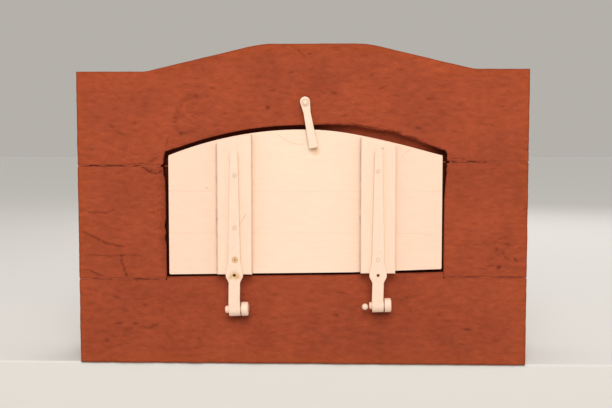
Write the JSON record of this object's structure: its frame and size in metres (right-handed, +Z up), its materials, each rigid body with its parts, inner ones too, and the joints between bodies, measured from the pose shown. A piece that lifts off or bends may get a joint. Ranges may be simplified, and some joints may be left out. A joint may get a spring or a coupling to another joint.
{
  "type": "window opening with bottom-hinged shutter",
  "caption": "Low arched window opening in a painted sandstone surround, closed by a boarded wooden flap shutter with forged strap hinges at its foot and a turn latch at its head.",
  "frame": {"origin": "the middle of the underside of the sill stone, halfway through the depth of the surround", "axes": "+X to the right as seen from outside, -Y outwards through the shutter, +Z up"},
  "size_m": [1.12, 0.2793, 0.798],
  "materials": {
    "painted_stone": "worn matt oxide-red paint on tooled sandstone",
    "painted_mortar": "rough lime mortar under the same red paint",
    "painted_iron": "forged iron under thick cream paint with rust breaking through",
    "painted_wood": "thick satin cream paint over boards"
  },
  "bodies": {
    "surround": {"lintel_stone": "painted_stone", "left_jamb_stone": "painted_stone", "right_jamb_stone": "painted_stone", "sill_stone": "painted_stone", "left_head_mortar": "painted_mortar", "right_head_mortar": "painted_mortar", "left_bed_mortar": "painted_mortar", "right_bed_mortar": "painted_mortar", "left_pintle_pin": "painted_iron", "right_pintle_pin": "painted_iron", "left_pintle_spike": "painted_iron", "right_pintle_spike": "painted_iron", "keeper_nail": "painted_iron", "latch_pivot_pin": "painted_iron", "latch_washer": "painted_iron"},
    "shutter": {"upper_board": "painted_wood", "middle_board": "painted_wood", "lower_board": "painted_wood", "left_batten": "painted_wood", "right_batten": "painted_wood", "left_strap_hinge": "painted_iron", "right_strap_hinge": "painted_iron"},
    "latch": {"latch_bar": "painted_iron"}
  },
  "joints": [
    {"name": "shutter_hinge", "type": "hinge", "parent": "surround", "child": "shutter", "pos_m": [0.0129, -0.142, 0.14778], "axis": [0.9995, 0, 0.0323], "range_deg": [0, 180]},
    {"name": "latch_pivot", "type": "hinge", "parent": "surround", "child": "latch", "pos_m": [0.0104, -0.13, 0.6512], "axis": [0, 1, 0], "range_deg": [0, 110]}
  ]
}
